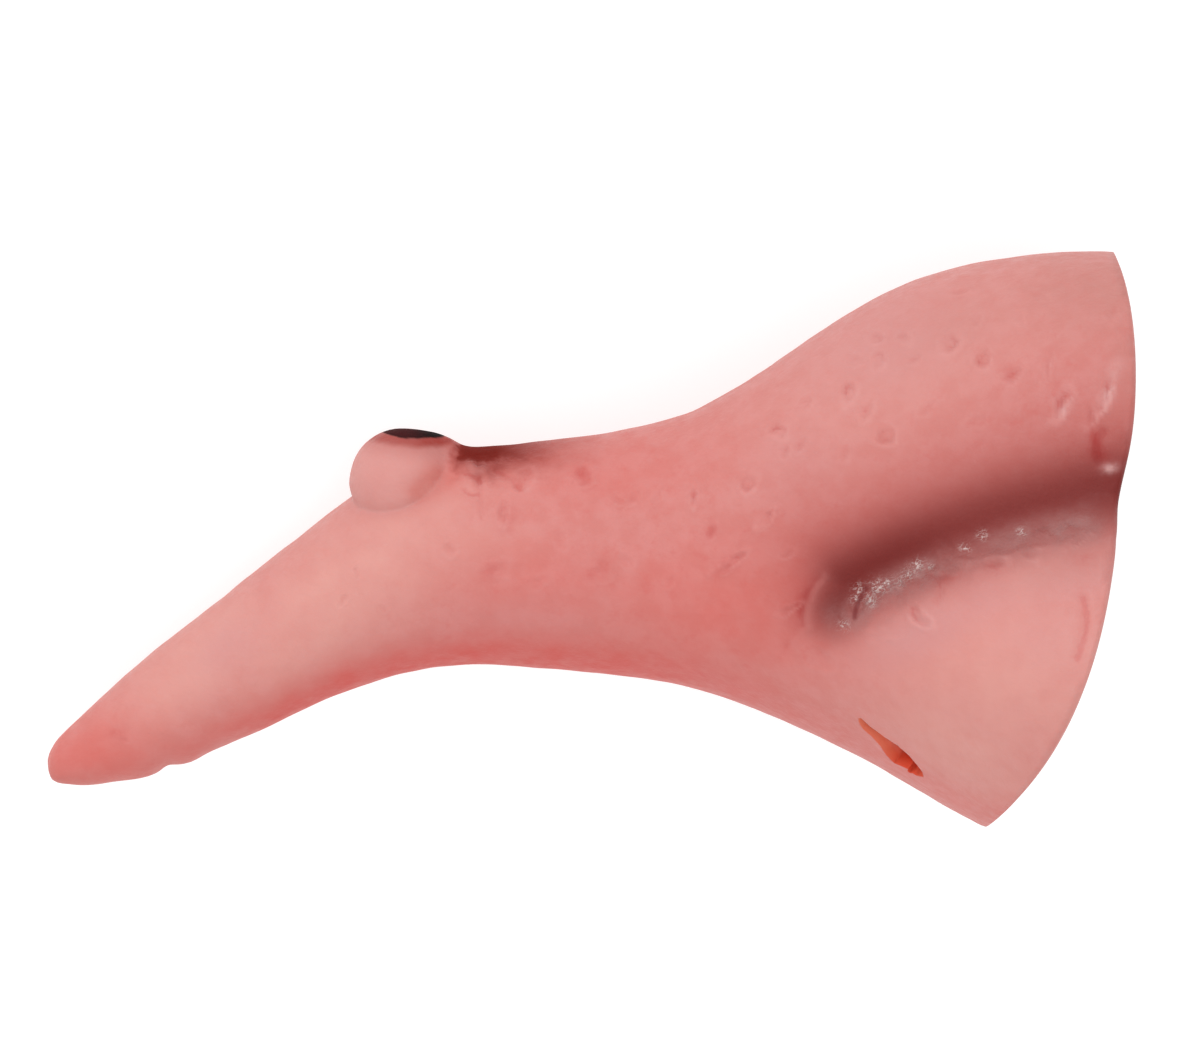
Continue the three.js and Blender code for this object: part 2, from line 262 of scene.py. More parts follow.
# Marks in the skin of the left flank: x, y, long, wide, turnDeg, depth, ring
# A ring leaves an island in the middle
leftPits = [
    (72.8, 35.3, 0.95, 0.85, 20, 0.13, 1),
    (69.9, 30.1, 1.0, 0.8, 70, 0.12, 1),
    (79.9, 39.0, 1.2, 0.75, 80, 0.15, 1),
    (81.8, 37.2, 1.1, 0.55, 65, 0.14, 0),
    (83.6, 34.7, 1.1, 0.95, 40, 0.15, 1),
    (75.9, 38.0, 0.8, 0.6, 60, 0.09, 1),
    (90.1, 43.7, 1.1, 0.9, 45, 0.16, 1),
    (93.3, 42.5, 1.0, 0.8, 75, 0.14, 1),
    (96.0, 40.9, 1.3, 0.5, 35, 0.13, 0),
    (99.8, 41.9, 1.9, 0.5, 75, 0.09, 0),
    (100.9, 38.0, 1.8, 0.6, 65, 0.2, 0),
    (105.4, 39.3, 2.2, 0.5, 72, 0.17, 0),
    (104.2, 36.9, 1.3, 0.6, 60, 0.12, 0),
    (85.7, 44.5, 0.6, 0.5, 0, 0.1, 0),
    (82.6, 44.5, 0.7, 0.55, 30, 0.1, 1),
    (82.9, 42.3, 0.85, 0.7, 80, 0.1, 1),
    (86.6, 42.3, 0.7, 0.5, 60, 0.08, 0),
    (80.5, 42.2, 0.7, 0.45, 20, 0.08, 0),
    (92.4, 46.3, 0.7, 0.6, 0, 0.07, 1),
    (97.0, 46.6, 0.7, 0.6, 50, 0.07, 1),
    (90.9, 49.2, 0.9, 0.4, 5, 0.08, 0),
    (98.9, 48.6, 1.0, 0.35, 170, 0.07, 0),
    (106.0, 46.8, 0.9, 0.5, 80, 0.08, 0),
    (75.3, 33.9, 0.9, 0.5, 55, 0.1, 0),
    (73.5, 33.1, 0.9, 0.5, 80, 0.1, 0),
    (64.6, 28.5, 1.0, 0.38, 80, 0.14, 0),
    (71.9, 26.7, 1.2, 0.45, 50, 0.12, 0),
    (68.8, 22.6, 1.3, 0.45, 40, 0.14, 0),
    (67.6, 21.6, 0.6, 0.5, 0, 0.09, 0),
    (58.1, 28.2, 1.5, 0.4, 45, 0.08, 0),
    (56.9, 28.8, 1.1, 0.4, 135, 0.07, 0),
    (53.5, 30.8, 1.0, 0.8, 60, 0.11, 0),
    (47.7, 30.3, 1.3, 0.8, 45, 0.1, 0),
    (45.6, 27.0, 1.0, 0.6, 80, 0.12, 0),
    (40.0, 23.4, 0.7, 0.6, 0, 0.08, 0),
    (44.8, 21.4, 1.0, 0.8, 20, 0.05, 0),
    (55.3, 21.4, 1.0, 0.8, 80, 0.05, 0),
    (73.7, 23.1, 0.8, 0.5, 30, 0.07, 0),
    (73.9, 17.5, 1.2, 0.4, 25, 0.1, 0),
    (86.8, 17.0, 1.4, 0.7, 130, 0.17, 1),
    (94.2, 21.9, 1.4, 0.5, 20, 0.08, 0),
    (97.6, 23.0, 0.8, 0.5, 160, 0.1, 0),
    (102.6, 24.6, 1.1, 0.45, 15, 0.1, 0),
    (77.2, 12.4, 1.4, 0.9, 150, 0.06, 0),
    (7.6, 4.6, 0.6, 0.5, 0, 0.05, 0),
    (66.2, 25.2, 0.9, 0.5, 60, 0.08, 0),
    (57.7, 22.2, 1.0, 0.6, 120, 0.06, 0),
    (62.2, 20.4, 0.9, 0.5, 50, 0.06, 0),
    (60.8, 28.6, 1.2, 0.35, 60, 0.06, 0),
    (51.2, 24.6, 1.1, 0.6, 100, 0.05, 0),
    (49.0, 20.2, 1.2, 0.7, 30, 0.05, 0),
    (31.0, 21.3, 0.5, 0.4, 70, 0.08, 0),
    (29.5, 18.4, 0.6, 0.4, 30, 0.07, 0),
    (33.6, 17.6, 0.5, 0.4, 100, 0.05, 0),
    (79.4, 33.0, 0.9, 0.5, 70, 0.06, 0),
    (87.8, 37.6, 1.1, 0.6, 30, 0.06, 0),
    (92.6, 36.4, 1.2, 0.6, 20, 0.06, 0),
]
rightPits = {
    "count": 34,
    "seed": 11,
    "depth": 0.13,
    "along": (44.0, 70.0, 103.0),  # x, then the y that the pits lie between there
    "lowY": (16.0, 19.0, 34.0),
    "highY": (30.0, 38.0, 48.0),
    "long": (0.6, 1.4),
    "slender": (0.4, 0.9),  # width against length
    "deeper": (0.5, 1.4),
}

# Fine creases of the left flank as arcs: front, bend, back, height (minus is a groove), width
skinCreases = [
    ((43.0, 31.7), (43.5, 29.4), (43.3, 26.5), -0.14, 0.2),
    ((41.7, 30.9), (42.6, 30.9), (43.3, 30.1), -0.2, 0.24),
    ((41.5, 29.4), (42.3, 28.8), (43.0, 29.0), -0.16, 0.24),
    ((44.6, 31.2), (46.0, 30.9), (47.3, 29.4), -0.15, 0.35),
    ((42.3, 31.7), (42.9, 31.1), (43.5, 31.5), 0.3, 0.4),
    ((77.6, 20.7), (75.7, 18.55), (75.9, 15.8), 0.15, 0.5),
    ((77.0, 20.6), (75.1, 19.2), (75.3, 15.8), -0.2, 0.4),
    ((75.2, 15.3), (74.8, 15.0), (74.4, 14.5), 0.11, 0.35),
    ((74.9, 15.2), (74.0, 14.6), (73.4, 13.2), -0.12, 0.35),
    ((103.1, 18.6), (103.8, 15.4), (102.3, 12.6), -0.2, 0.45),
    ((103.8, 18.8), (104.6, 15.4), (103.0, 12.4), 0.16, 0.5),
    ((81.5, 19.4), (81.1, 18.3), (80.4, 16.8), -0.16, 0.36),
    ((87.0, 21.3), (88.2, 20.6), (89.6, 20.8), -0.12, 0.25),
    ((81.6, 15.3), (82.4, 15.4), (83.4, 15.6), 0.09, 0.35),
    ((105.0, 35.2), (103.9, 33.8), (104.7, 32.2), -0.3, 0.5),
    ((105.1, 31.8), (105.7, 31.4), (106.2, 31.7), 0.1, 0.6),
    ((106.4, 41.0), (106.2, 39.3), (105.5, 37.8), 0.1, 0.7),
    ((101.9, 39.2), (101.7, 38.0), (100.8, 37.0), 0.08, 0.6),
    ((88.6, 20.3), (89.4, 19.0), (88.5, 18.2), -0.14, 0.35),
    ((82.0, 14.2), (83.2, 14.7), (84.8, 14.5), 0.1, 0.3),
    ((91.0, 21.9), (93.0, 23.0), (95.6, 22.6), 0.16, 0.4),
    ((98.0, 23.2), (99.6, 23.9), (101.2, 23.4), 0.14, 0.4),
    ((66.0, 21.0), (67.4, 22.0), (68.6, 22.4), 0.14, 0.3),
    ((70.8, 25.6), (71.8, 26.2), (72.6, 27.4), 0.12, 0.3),
    ((87.4, 0.5), (87.9, 0.1), (88.5, -0.2), 0.14, 0.32),
]
# A skin of dried paint lies wrinkled along the bottom of the fold
paintFilm = {"front": (80.1, 16.7), "bend": (87.2, 22.9), "back": (103.8, 26.0)}
filmLine = arcPoints(paintFilm["front"], paintFilm["bend"], paintFilm["back"], "paint")
foldWrinkles = {
    "height": 0.3,
    "grain": 0.8,
    "finer": 2.3,  # grain of the small wrinkles against the large ones
    "fineShare": 0.6,
    "reach": (1.7, 1.7, 1.5),  # above, below and past the ends
    "fromZ": 9.0,  # on the flanks alone
    "least": 0.02,
}
tipNotch = {
    "x": 12.0,
    "width": 0.8,
    "depth": 0.26,
    "lobes": [(9.6, 2.1, 0.36), (14.3, 1.4, 0.32)],  # x, reach, height in front of the notch and behind it
    "halfZ": 3.4,
}
skinLumps = {"height": 0.12, "grain": 0.09, "fineHeight": 0.075, "fineGrain": 0.38}
noiseSeeds = {"wrinkle": 1, "fineWrinkle": 2, "lump": 3, "fineLump": 4, "wart": 6}

# Wart: a ball with a soft mound behind it, grown out of the left of the bridge
wartForm = {
    "root": (35.6, 25.7, 1.8),
    "ball": (35.38, 30.35, 3.5),
    "radius": 5.2,
    "ballSoft": 3.5,  # how soft its foot is
    "mound": (37.75, 31.85, 2.4),
    "moundReach": 3.15,
    "moundHeight": 2.9,
    "blend": 4.0,
    "fade": (11.0, 14.0),  # from the root
    "groove": ((38.9, 31.2), (38.0, 30.3), (36.9, 29.3)),
    "grooveReach": (0.6, 0.6, 0.8),
    "grooveDepth": 0.03,
    "pimple": (36.2, 28.6, 0.35),  # x, y, reach
    "pimpleHeight": 0.12,
    "markZ": 3.0,  # the groove and the pimple are on the left of this
    "lumpHeight": 0.12,
    "lumpGrain": 0.5,
    "lumpPush": (0.3, 2.0),  # lumpy only where the skin is pushed out
}
slitForm = {
    "front": (13.615, 147.4),  # rib, angle from the crest in degrees
    "back": (15.01, 161.5),
    "blush": (86.0, 2.2, 2.6),  # x, y, reach: redder latex
    "blushZ": (2.0, 7.0),
    "lip": 0.06,
    "lipReach": 0.5,
    "lipFrom": 0.1,
    "lipInside": -2.0,
    "skinReach": 1.0,  # how far off its plane the slit is still felt
    "below": 5.0,  # how far under the skin the cutter starts
    "through": 8.0,  # how far out it goes from there
    "outlineSteps": 200,
    "merge": 0.02,
    "mergeReach": 2.0,
    # share of the length, then how far the edge is from the straight line between the ends
    "upper": [
        (0.0, 0.0), (0.016, 0.35), (0.142, 0.41), (0.327, 0.8), (0.503, 1.6),
        (0.66, 1.81), (0.815, 1.5), (0.923, 1.0), (1.0, 0.0),
    ],
    "lower": [
        (0.0, 0.0), (0.044, 0.5), (0.143, 1.0), (0.277, 1.02), (0.442, 1.42), (0.59, 2.35),
        (0.729, 2.85), (0.818, 1.8), (0.848, 1.6), (0.856, 1.4), (0.868, 1.95), (0.912, 2.1),
        (0.926, 1.45), (0.948, 1.4), (0.97, 1.3), (1.0, 0.0),
    ],
}


def slitFrame(side):
    # front end, then the directions along the slit, up across it and out of the skin
    places = (slitForm["front"], slitForm["back"])
    middle = [(places[0][i] + places[1][i]) / 2 for i in range(2)]

    def onSkin(rib, deg):
        return shellPoint(np.array([rib]), np.array([math.radians(deg) * side]), np.zeros(1))[0]

    front, back = onSkin(*places[0]), onSkin(*places[1])
    length = np.linalg.norm(back - front)
    along = (back - front) / length
    around = onSkin(middle[0], middle[1] - 1) - onSkin(middle[0], middle[1] + 1)
    across = around - along * (around @ along)
    across /= np.linalg.norm(across)
    outward = np.cross(along, across) * -side
    return front, along, across, outward, length


def slitReach(share):
    return [np.interp(share, *np.array(slitForm[edge]).T) for edge in ("upper", "lower")]


def slitAway(points, side):
    # distance from the edge of the slit, negative in the gap
    front, along, across, outward, length = slitFrame(side)
    reach = points - front
    run, rise, out = reach @ along, reach @ across, reach @ outward
    upper, lower = slitReach(np.clip(run / length, 0, 1))
    beside = np.maximum(rise - upper, -rise - lower)
    past = np.maximum(np.maximum(-run, run - length), 0)
    off = np.maximum(np.abs(out) - slitForm["skinReach"], 0)
    outside = np.sqrt(np.maximum(beside, 0) ** 2 + past**2 + off**2)
    return np.where(outside > 0, outside, beside)


def rightPitTable():
    # the right flank shows in no picture, so its marks are strewn
    rng = np.random.default_rng(rightPits["seed"])
    table = []
    for _ in range(rightPits["count"]):
        x = rng.uniform(rightPits["along"][0], rightPits["along"][-1])
        low, high = [np.interp(x, rightPits["along"], rightPits[edge]) for edge in ("lowY", "highY")]
        long = rng.uniform(*rightPits["long"])
        wide = long * rng.uniform(*rightPits["slender"])
        depth = rightPits["depth"] * rng.uniform(*rightPits["deeper"])
        y, turnDeg = rng.uniform(low, high), rng.uniform(0, 180)
        table.append((x, y, long, wide, turnDeg, depth, int(rng.integers(0, 2))))
    return table


pitTables = {1: leftPits, -1: rightPitTable()}


markForm = {
    "pitScale": 1.7,
    "pitSize": 0.82,
    "hollowWide": 0.8,
    "ringAt": 0.62,  # a ring's groove, as a share of the pit
    "ringNarrow": 0.42,
    "openSide": 0.75,  # a ring is worn away on one side
    "openTurn": 2.7,
    "lipAt": 1.45,
    "lipWide": 0.4,
    "lipHeight": 0.45,
    "warp": 0.55,
    "warpGrain": 0.6,
    "warpSeed": 3,  # without a seed of its own, the drift would follow the clock
    "creaseWarp": 0.3,  # creases keep more of their line than pits
    "reach": 4.0,  # lengths from a pit, or widths from a crease, where it ends
    "litDeg": -50.0,
    "paintReach": (3.0, 0.5),  # lengths and millimetres from a pit
    "paintDepth": 0.2,  # depth that is painted full dark
    "darkLit": (0.75, 0.25),  # darkness, and how far it turns with the light
    "lightLit": 0.9,
    "creaseDark": 0.34,
    "creaseLight": 0.7,
}
noise.seed_set(markForm["warpSeed"])


def warped(points):
    # places as the pits and the creases see them, so that no mark is a clean oval or arc
    shift = np.zeros((len(points), 3))
    for octave in (1, 3):
        grain = markForm["warpGrain"] * octave
        drift = np.array([noise.noise_vector(Vector(p) * grain) for p in points]).reshape(-1, 3)
        shift += drift * markForm["warp"] / octave
    flat = points[:, :2]
    return (flat + shift[:, :2]).T, (flat + markForm["creaseWarp"] * shift[:, :2]).T


def turnedTo(x, y, placeX, placeY, turnDeg):
    # how far each point lies along and across a mark
    turn = math.radians(turnDeg)
    along = (x - placeX) * math.cos(turn) + (y - placeY) * math.sin(turn)
    across = (y - placeY) * math.cos(turn) - (x - placeX) * math.sin(turn)
    return along, across


def pitHeight(x, y, pit):
    placeX, placeY, long, wide, turnDeg, depth, ring = pit
    along, across = turnedTo(x, y, placeX, placeY, turnDeg)
    away = np.hypot(along / long, across / wide) / markForm["pitSize"]
    width = markForm["hollowWide"] - markForm["ringNarrow"] * ring
    hollow = bell((away - markForm["ringAt"] * ring) / width)
    if ring:
        opening = np.arctan2(across, along) + placeX * markForm["openTurn"]
        hollow *= 1 - markForm["openSide"] * (0.5 + 0.5 * np.cos(opening))
    lip = markForm["lipHeight"] * bell((away - markForm["lipAt"]) / markForm["lipWide"])
    return depth * markForm["pitScale"] * (lip - hollow)


def noiseAt(points, grain, kind):
    shift = Vector([step * noiseSeeds[kind] for step in (7.3, 3.1, 5.7)])
    return np.array([noise.noise(Vector(p) * grain + shift) for p in points])


def markRelief(points, side):
    # pits and creases, from the place seen from the side
    (x, y), (creaseX, creaseY) = warped(points)
    height = np.zeros(len(points))
    for sign, table in pitTables.items():
        own = side == sign
        for pit in table:
            placeX, placeY, long = pit[:3]
            reach = markForm["reach"] * long
            near = own & (np.abs(x - placeX) < reach) & (np.abs(y - placeY) < reach)
            height[near] += pitHeight(x[near], y[near], pit)
    for front, bend, back, rise, width in skinCreases:
        line = arcPoints(front, bend, back)
        low, high = line.min(0) - markForm["reach"] * width, line.max(0) + markForm["reach"] * width
        near = (side > 0) & (creaseX > low[0]) & (creaseX < high[0])
        near &= (creaseY > low[1]) & (creaseY < high[1])
        height[near] += rise * arcBand(creaseX[near], creaseY[near], line, width)
    band = arcBand(x, y, filmLine, *foldWrinkles["reach"])
    band = band * (np.abs(points[:, 2]) > foldWrinkles["fromZ"])
    rough = band > foldWrinkles["least"]
    grain = foldWrinkles["grain"]
    wrinkle = noiseAt(points[rough], grain, "wrinkle")
    finer = noiseAt(points[rough], foldWrinkles["finer"] * grain, "fineWrinkle")
    wrinkle += foldWrinkles["fineShare"] * finer
    height[rough] += foldWrinkles["height"] * band[rough] * wrinkle
    return height


def skinRelief(points, side):
    # height over the plain skin
    x, y, z = points.T
    height = markRelief(points, side)
    height += skinLumps["height"] * noiseAt(points, skinLumps["grain"], "lump")
    height += skinLumps["fineHeight"] * noiseAt(points, skinLumps["fineGrain"], "fineLump")
    under = bell(z / tipNotch["halfZ"]) * (y < ribMiddleY(x))
    height -= under * tipNotch["depth"] * bell((x - tipNotch["x"]) / tipNotch["width"])
    for placeX, reach, lobe in tipNotch["lobes"]:
        height += under * lobe * bell((x - placeX) / reach)
    for sign in (1, -1):
        away = slitAway(points, sign)
        lip = bell(np.maximum(away - slitForm["lipFrom"], 0) / slitForm["lipReach"])
        height += slitForm["lip"] * lip * (away > slitForm["lipInside"])
    return height


def ribMiddleY(x):
    middleX = (ribColumn["crestX"] + ribColumn["keelX"]) / 2
    return np.interp(x, middleX, (ribColumn["crestY"] + ribColumn["keelY"]) / 2)


def growWart(points):
    # pushes the skin out from the wart's root to the far side of its lobes
    root = np.array(wartForm["root"])
    reach = points - root
    length = np.linalg.norm(reach, axis=1)
    ray = reach / length[:, None]
    offset = np.array(wartForm["ball"]) - root
    along = ray @ offset
    gap = wartForm["radius"] ** 2 - (offset.dot(offset) - along**2)
    ball = np.maximum(along + np.sqrt(np.maximum(gap, 0)) - length, 0)
    ball *= smoothStep(gap, 0, wartForm["ballSoft"])
    mound = wartForm["moundHeight"] * bell(farFrom(points, wartForm["mound"]) / wartForm["moundReach"])
    push = (ball ** wartForm["blend"] + mound ** wartForm["blend"]) ** (1 / wartForm["blend"])
    push *= 1 - smoothStep(length, *wartForm["fade"])
    grown = points + ray * push[:, None]
    x, y, z = grown.T
    left = z > wartForm["markZ"]
    grooveLine = arcPoints(*wartForm["groove"])
    groove = arcBand(x, y, grooveLine, *wartForm["grooveReach"]) * left
    pimple = spot(x, y, *wartForm["pimple"]) * left
    lumps = noiseAt(grown, wartForm["lumpGrain"], "wart") * smoothStep(push, *wartForm["lumpPush"])
    relief = wartForm["pimpleHeight"] * pimple - wartForm["grooveDepth"] * groove
    relief += wartForm["lumpHeight"] * lumps
    return grown + ray * relief[:, None]


def sheetAngle(sheetV):
    # angle from the crest, positive on the left
    angle = (sheetV - 0.5) * 2 * math.pi
    angle = angle + shellForm["sideCrowd"] * np.sin(2 * angle)
    return angle, np.where(np.sin(angle) >= 0, 1, -1)


def skinNormals(rib, angle, depth):
    small = 1e-3
    ahead, behind = np.minimum(rib + small, lastRib), np.maximum(rib - small, 0)
    alongStep = shellPoint(ahead, angle, depth) - shellPoint(behind, angle, depth)
    aroundStep = shellPoint(rib, angle + small, depth) - shellPoint(rib, angle - small, depth)
    normal = np.cross(aroundStep, alongStep)
    return normal / np.maximum(np.linalg.norm(normal, axis=1, keepdims=True), 1e-12)


def sheetToShell(sheetU, sheetV):
    # place of each point of the flat sheet on the finished nose
    rib, depth, gather, edge = (np.interp(sheetU, stopNumbers, stops[:, i]) for i in range(4))
    angle, side = sheetAngle(sheetV)
    points = shellPoint(rib, angle, depth)
    normal = skinNormals(rib, angle, depth)
    outer = smoothStep(skinEnd - sheetU, *shellForm["reliefFade"])
    skin = np.where(outer > 0)[0]
    relief = skinRelief(points[skin], side[skin])
    points[skin] += normal[skin] * (relief * outer[skin])[:, None]
    warty = skin[farFrom(points[skin], wartForm["root"]) < wartForm["fade"][1]]
    points[warty] = growWart(points[warty])
    row = ribAt(rib)
    middleX, middleY = (row["crestX"] + row["keelX"]) / 2, (row["crestY"] + row["keelY"]) / 2
    middle = np.stack([middleX, middleY, 0 * rib], -1)
    points = middle + (points - middle) * gather[:, None]
    points[:, 0] -= np.where(sheetU < tipStops, shellForm["tipRound"] * (1 - gather**2), 0)
    crown = 1 - np.abs(2 * depth / shellForm["wall"] - 1) ** shellForm["edgePower"]
    points[:, 0] += shellForm["edgeRound"] * edge * crown
    return points


# Where the sheet needs a finer net, as distances round each thing
detailNet = {
    "pit": (1.5, 0.7),  # lengths and millimetres
    "crease": 0.4,
    "film": 2.0,
    "least": 0.1,
    "wart": 10.5,
    "stain": (40.0, 51.0, 28.5),  # from x, to x, above y
    "slit": 1.6,
    "notch": (1.6, 5.0),  # along, and half across
}


def wantsDetail(points, side):
    x, y, z = points.T
    fine = np.zeros(len(points), bool)
    lengths, margin = detailNet["pit"]
    for sign, table in pitTables.items():
        for placeX, placeY, long, *_ in table:
            fine |= (side == sign) & (np.hypot(x - placeX, y - placeY) < lengths * long + margin)
    for front, bend, back, _, width in skinCreases:
        band = arcBand(x, y, arcPoints(front, bend, back, "net"), width + detailNet["crease"])
        fine |= (side > 0) & (band > detailNet["least"])
    band = arcBand(x, y, filmLine, detailNet["film"])
    fine |= (band > detailNet["least"]) & (np.abs(z) > foldWrinkles["fromZ"])
    fine |= farFrom(points, wartForm["root"]) < detailNet["wart"]
    lowX, highX, lowY = detailNet["stain"]
    fine |= (side > 0) & (x > lowX) & (x < highX) & (y > lowY)
    for sign in (1, -1):
        fine |= slitAway(points, sign) < detailNet["slit"]
    along, half = detailNet["notch"]
    fine |= (np.abs(x - tipNotch["x"]) < along) & (np.abs(z) < half) & (y < ribMiddleY(x))
    return fine


def latexSheet():
    # flat net, rolled up into the nose: U runs along the stops, V runs round from keel to keel
    bm = bmesh.new()
    bmesh.ops.create_grid(bm, x_segments=len(stops) - 1, y_segments=shellForm["around"], size=0.5)
    bmesh.ops.translate(bm, verts=bm.verts, vec=(0.5, 0.5, 0))
    bmesh.ops.scale(bm, verts=bm.verts, vec=(len(stops) - 1, 1, 1))
    bm.faces.ensure_lookup_table()
    centres = np.array([face.calc_center_median()[:2] for face in bm.faces])
    for face, centre in zip(bm.faces, centres):
        face.material_index = int(centre[0] > skinEnd + shellForm["bareFrom"])  # bare latex inside
    rib, depth = (np.interp(centres[:, 0], stopNumbers, stops[:, i]) for i in range(2))
    angle, side = sheetAngle(centres[:, 1])
    fine = wantsDetail(shellPoint(rib, angle, depth), side)
    fine &= (centres[:, 0] < skinEnd) & (centres[:, 0] > tipStops)
    edges = dict.fromkeys(edge for i in np.where(fine)[0] for edge in bm.faces[i].edges)
    bmesh.ops.subdivide_edges(bm, edges=list(edges), cuts=shellForm["detailCuts"], use_grid_fill=True)
    sheet = np.array([vert.co[:2] for vert in bm.verts])
    places = sheetToShell(sheet[:, 0], sheet[:, 1])
    for vert, place in zip(bm.verts, places):
        vert.co = place
    bmesh.ops.remove_doubles(bm, verts=bm.verts, dist=shellForm["weld"])
    bmesh.ops.recalc_face_normals(bm, faces=bm.faces)
    return bm


def slitCutter(side):
    # almond with a torn back end, pushed through the wall
    front, along, across, outward, length = slitFrame(side)
    bm = bmesh.new()
    steps = slitForm["outlineSteps"]
    bmesh.ops.create_cone(bm, cap_ends=True, segments=steps, radius1=1.0, radius2=1.0, depth=1.0)
    for vert in bm.verts:
        share = (vert.co.x + 1) / 2
        upper, lower = slitReach(share)
        rise = upper if vert.co.y > 0 else -lower
        out = (vert.co.z + 0.5) * slitForm["through"] - slitForm["below"]
        vert.co = front + along * length * share + across * rise + outward * out
    for face in bm.faces:
        face.material_index = 1
    bmesh.ops.recalc_face_normals(bm, faces=bm.faces)
    if bm.calc_volume(signed=True) < 0:
        bmesh.ops.reverse_faces(bm, faces=bm.faces)
    return bm


def meshObject(name, bm, materials):
    mesh = bpy.data.meshes.new(name)
    bm.to_mesh(mesh)
    bm.free()
    for material in materials:
        mesh.materials.append(material)
    piece = bpy.data.objects.new(name, mesh)
    bpy.context.scene.collection.objects.link(piece)
    return piece


def tidyCut(mesh):
    # merges the slivers that the cutting leaves along the slits
    bm = bmesh.new()
    bm.from_mesh(mesh)
    points = np.array([vert.co for vert in bm.verts])
    away = np.minimum(slitAway(points, 1), slitAway(points, -1))
    beside = [vert for vert, distance in zip(bm.verts, away) if distance < slitForm["mergeReach"]]
    bmesh.ops.remove_doubles(bm, verts=beside, dist=slitForm["merge"])
    bmesh.ops.triangulate(bm, faces=[face for face in bm.faces if len(face.verts) > 4])
    bm.to_mesh(mesh)
    bm.free()


def cutSlits(piece):
    for side in (1, -1):
        cutter = meshObject("slitCutter", slitCutter(side), piece.data.materials)
        cut = piece.modifiers.new("slit", "BOOLEAN")
        cut.operation = "DIFFERENCE"
        cut.solver = "MANIFOLD"
        cut.object = cutter
        whole = bpy.data.meshes.new_from_object(piece.evaluated_get(bpy.context.evaluated_depsgraph_get()))
        piece.modifiers.clear()
        old, piece.data = piece.data, whole
        bpy.data.meshes.remove(old)
        bpy.data.objects.remove(cutter)
    tidyCut(piece.data)


# Sprayed paint of the skin, with painted shade and painted highlights among it, kept as amounts on the mesh
# that the material reads
creaseSpray = {
    "line": ((80.0, 20.4), (93.0, 27.6), (107.5, 30.0)),
    "shadeAbove": 3.9,
    "shadeAhead": 3.2,
    "shadeBelow": ((0.0, 0.4, 0.7, 1.0), (3.5, 3.9, 4.5, 4.9)),  # share, reach
    "shadeRun": ((0.0, 0.2, 0.4, 0.7, 1.0), (1.0, 1.0, 0.86, 0.86, 0.98)),  # share, amount
    "hook": ((78.5, 17.6), (79.3, 19.6), (82.0, 21.4)),  # the shade goes round the front end of the film
    "hookReach": 2.8,
    "hookAmount": 0.95,
    "halo": (9.0, 4.0, 7.5),
    "film": (1.4, 1.8, 1.6),
    "filmRun": ((0.0, 0.2, 0.4, 0.6, 0.8, 0.95, 1.0), (0.8, 1.0, 1.0, 0.42, 0.85, 1.0, 0.8)),
    "slot": ((81.6, 19.6), (80.6, 18.1), (80.5, 16.7)),  # dark fold in the film
    "slotFar": 9.0,  # puts it out of reach on the right side
    "haze": [(79.2, 16.3, 2.0, 0.45), (82.6, 17.3, 2.3, 0.42), (90.5, 21.4, 2.2, 0.3)],  # x, y, reach, amount
    "glints": [  # x, y, reach: where the wrinkled film catches the light
        (81.0, 19.5, 0.6),
        (80.6, 18.7, 0.5),
        (82.8, 19.7, 0.8),
        (83.8, 20.2, 0.55),
        (82.0, 18.4, 0.6),
        (85.0, 20.2, 0.4),
        (85.7, 21.0, 0.5),
        (86.6, 21.8, 0.65),
        (88.1, 21.7, 0.3),
        (91.4, 23.6, 0.45),
        (93.1, 24.9, 0.45),
        (97.0, 25.2, 0.4),
        (79.4, 15.9, 0.45),
    ],
}
